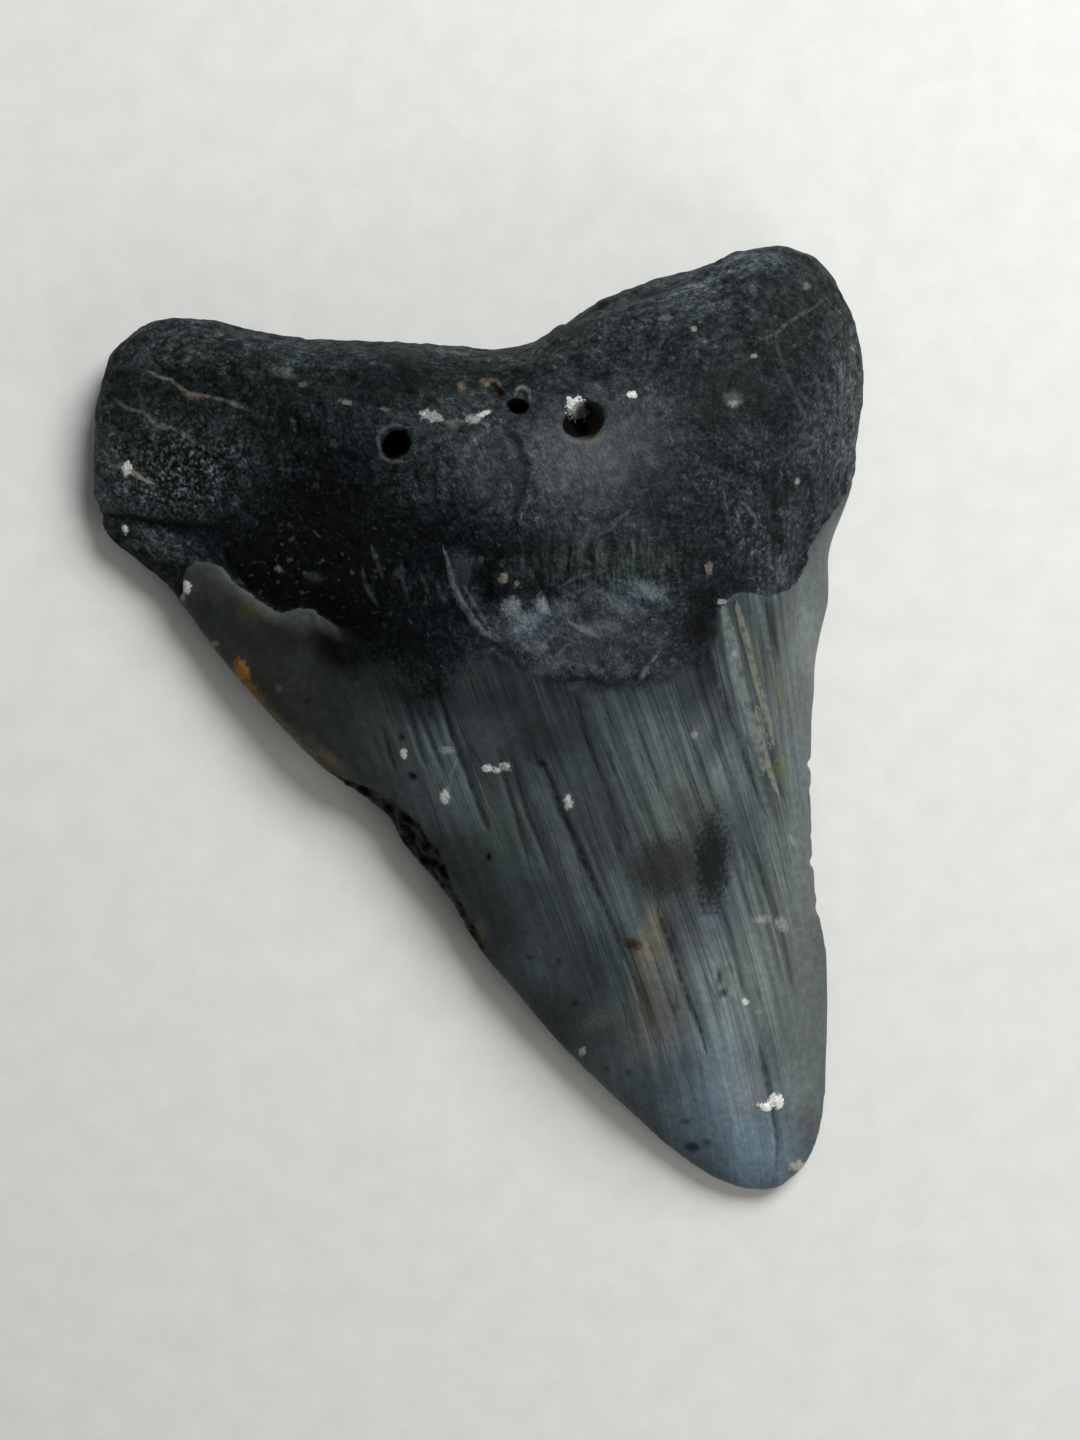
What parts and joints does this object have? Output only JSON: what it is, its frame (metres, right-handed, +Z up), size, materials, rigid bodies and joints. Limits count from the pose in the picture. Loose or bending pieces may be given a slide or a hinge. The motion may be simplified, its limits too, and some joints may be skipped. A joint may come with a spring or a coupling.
{
  "type": "fossil megalodon tooth",
  "caption": "Black water-worn fossil megalodon tooth with a two-lobed root and a broad triangular crown, lying on its flat labial face.",
  "frame": {"origin": "on the surface that the tooth lies on, under the middle of its outline", "axes": "+Y from the tip of the crown to the root, +Z up through the lingual face, +X to the right as the lingual face is seen from above"},
  "size_m": [0.0771, 0.0945, 0.021],
  "materials": {
    "tooth": "satin, water-worn"
  },
  "bodies": {
    "root": {"tooth": "tooth"}
  },
  "joints": []
}
